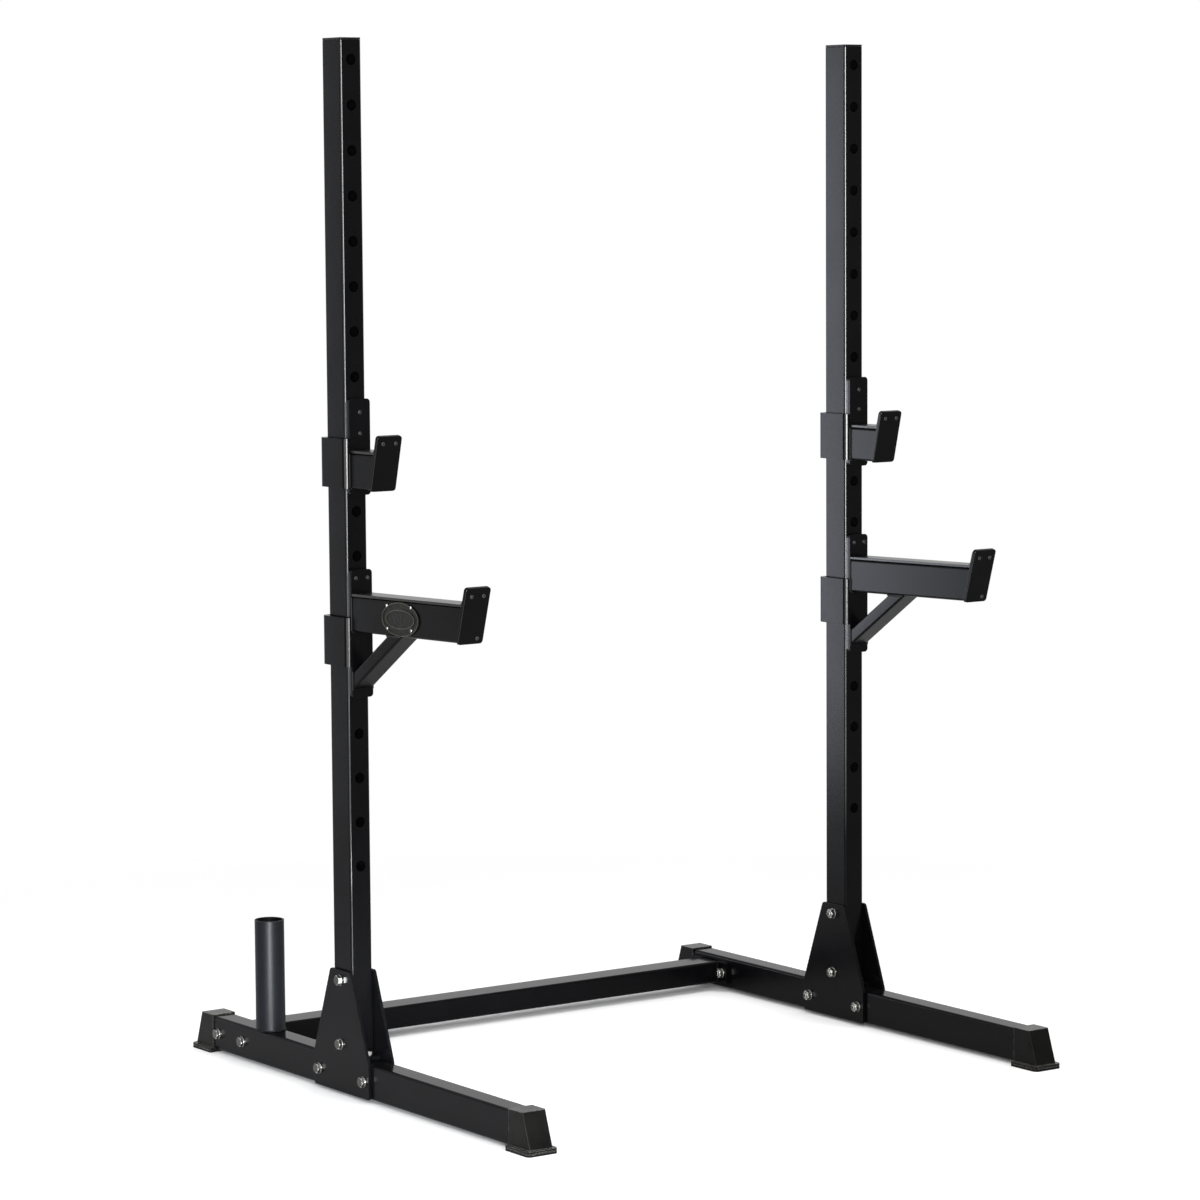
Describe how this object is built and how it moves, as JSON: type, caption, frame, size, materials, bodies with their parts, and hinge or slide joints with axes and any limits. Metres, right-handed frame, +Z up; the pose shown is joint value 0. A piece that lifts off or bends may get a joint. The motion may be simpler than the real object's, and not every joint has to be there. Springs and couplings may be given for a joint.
{
  "type": "squat stand",
  "caption": "Free-standing squat stand: perforated uprights on bolted feet, with hook-on bar cups, braced spotter arms and a bar storage tube.",
  "frame": {"origin": "on the floor, at the middle of the stand's bounding box", "axes": "+Z up along the uprights, +X from the left upright to the right one as seen from the front, -Y out of the front, where the cups and arms point"},
  "size_m": [1.245, 1.18, 1.96],
  "materials": {
    "powder_coat": "black powder coat, semi-gloss, with a fine orange-peel texture",
    "liner_plastic": "black moulded polyethylene, satin",
    "cap_plastic": "black moulded plastic, fine texture",
    "boot_rubber": "black rubber, matt",
    "zinc": "bright zinc plate",
    "badge_metal": "dark plain plate, satin"
  },
  "bodies": {
    "frame": {"left_foot_tube": "powder_coat", "left_upright": "powder_coat", "left_upright_cap": "cap_plastic", "left_outer_gusset": "powder_coat", "left_inner_gusset": "powder_coat", "left_front_boot": "boot_rubber", "left_rear_boot": "boot_rubber", "left_gusset_bolt_top": "zinc", "left_gusset_bolt_middle": "zinc", "left_gusset_bolt_front": "zinc", "left_gusset_bolt_rear": "zinc", "left_cross_bolt_front": "zinc", "left_cross_bolt_rear": "zinc", "left_base_bolt_front": "zinc", "left_base_bolt_rear": "zinc", "right_foot_tube": "powder_coat", "right_upright": "powder_coat", "right_upright_cap": "cap_plastic", "right_outer_gusset": "powder_coat", "right_inner_gusset": "powder_coat", "right_front_boot": "boot_rubber", "right_rear_boot": "boot_rubber", "right_gusset_bolt_top": "zinc", "right_gusset_bolt_middle": "zinc", "right_gusset_bolt_front": "zinc", "right_gusset_bolt_rear": "zinc", "right_cross_bolt_front": "zinc", "right_cross_bolt_rear": "zinc", "right_base_bolt_front": "zinc", "right_base_bolt_rear": "zinc", "cross_member": "powder_coat", "storage_tube": "powder_coat"},
    "left_cup": {"left_cup_bracket": "powder_coat", "left_cup_back_liner": "liner_plastic", "left_cup_pin": "zinc", "left_cup_box": "powder_coat", "left_cup_lip": "powder_coat", "left_cup_saddle_liner": "liner_plastic"},
    "right_cup": {"right_cup_bracket": "powder_coat", "right_cup_back_liner": "liner_plastic", "right_cup_pin": "zinc", "right_cup_box": "powder_coat", "right_cup_lip": "powder_coat", "right_cup_saddle_liner": "liner_plastic"},
    "left_arm": {"left_arm_bracket": "powder_coat", "left_arm_back_liner": "liner_plastic", "left_arm_pin": "zinc", "left_arm_tube": "powder_coat", "left_arm_lip": "powder_coat", "left_arm_wear_strip": "liner_plastic", "left_arm_brace": "powder_coat", "left_arm_badge": "badge_metal"},
    "right_arm": {"right_arm_bracket": "powder_coat", "right_arm_back_liner": "liner_plastic", "right_arm_pin": "zinc", "right_arm_tube": "powder_coat", "right_arm_lip": "powder_coat", "right_arm_wear_strip": "liner_plastic", "right_arm_brace": "powder_coat"}
  },
  "joints": [
    {"name": "left_cup_turn", "type": "hinge", "parent": "frame", "child": "left_cup", "pos_m": [-0.585, 0.035, 1.26], "axis": [0, 1, 0], "range_deg": [0, 100]},
    {"name": "right_cup_turn", "type": "hinge", "parent": "frame", "child": "right_cup", "pos_m": [0.585, 0.035, 1.26], "axis": [0, 1, 0], "range_deg": [0, 100]},
    {"name": "left_arm_turn", "type": "hinge", "parent": "frame", "child": "left_arm", "pos_m": [-0.585, 0.035, 0.93], "axis": [0, 1, 0], "range_deg": [0, 100]},
    {"name": "right_arm_turn", "type": "hinge", "parent": "frame", "child": "right_arm", "pos_m": [0.585, 0.035, 0.93], "axis": [0, 1, 0], "range_deg": [0, 100]}
  ]
}
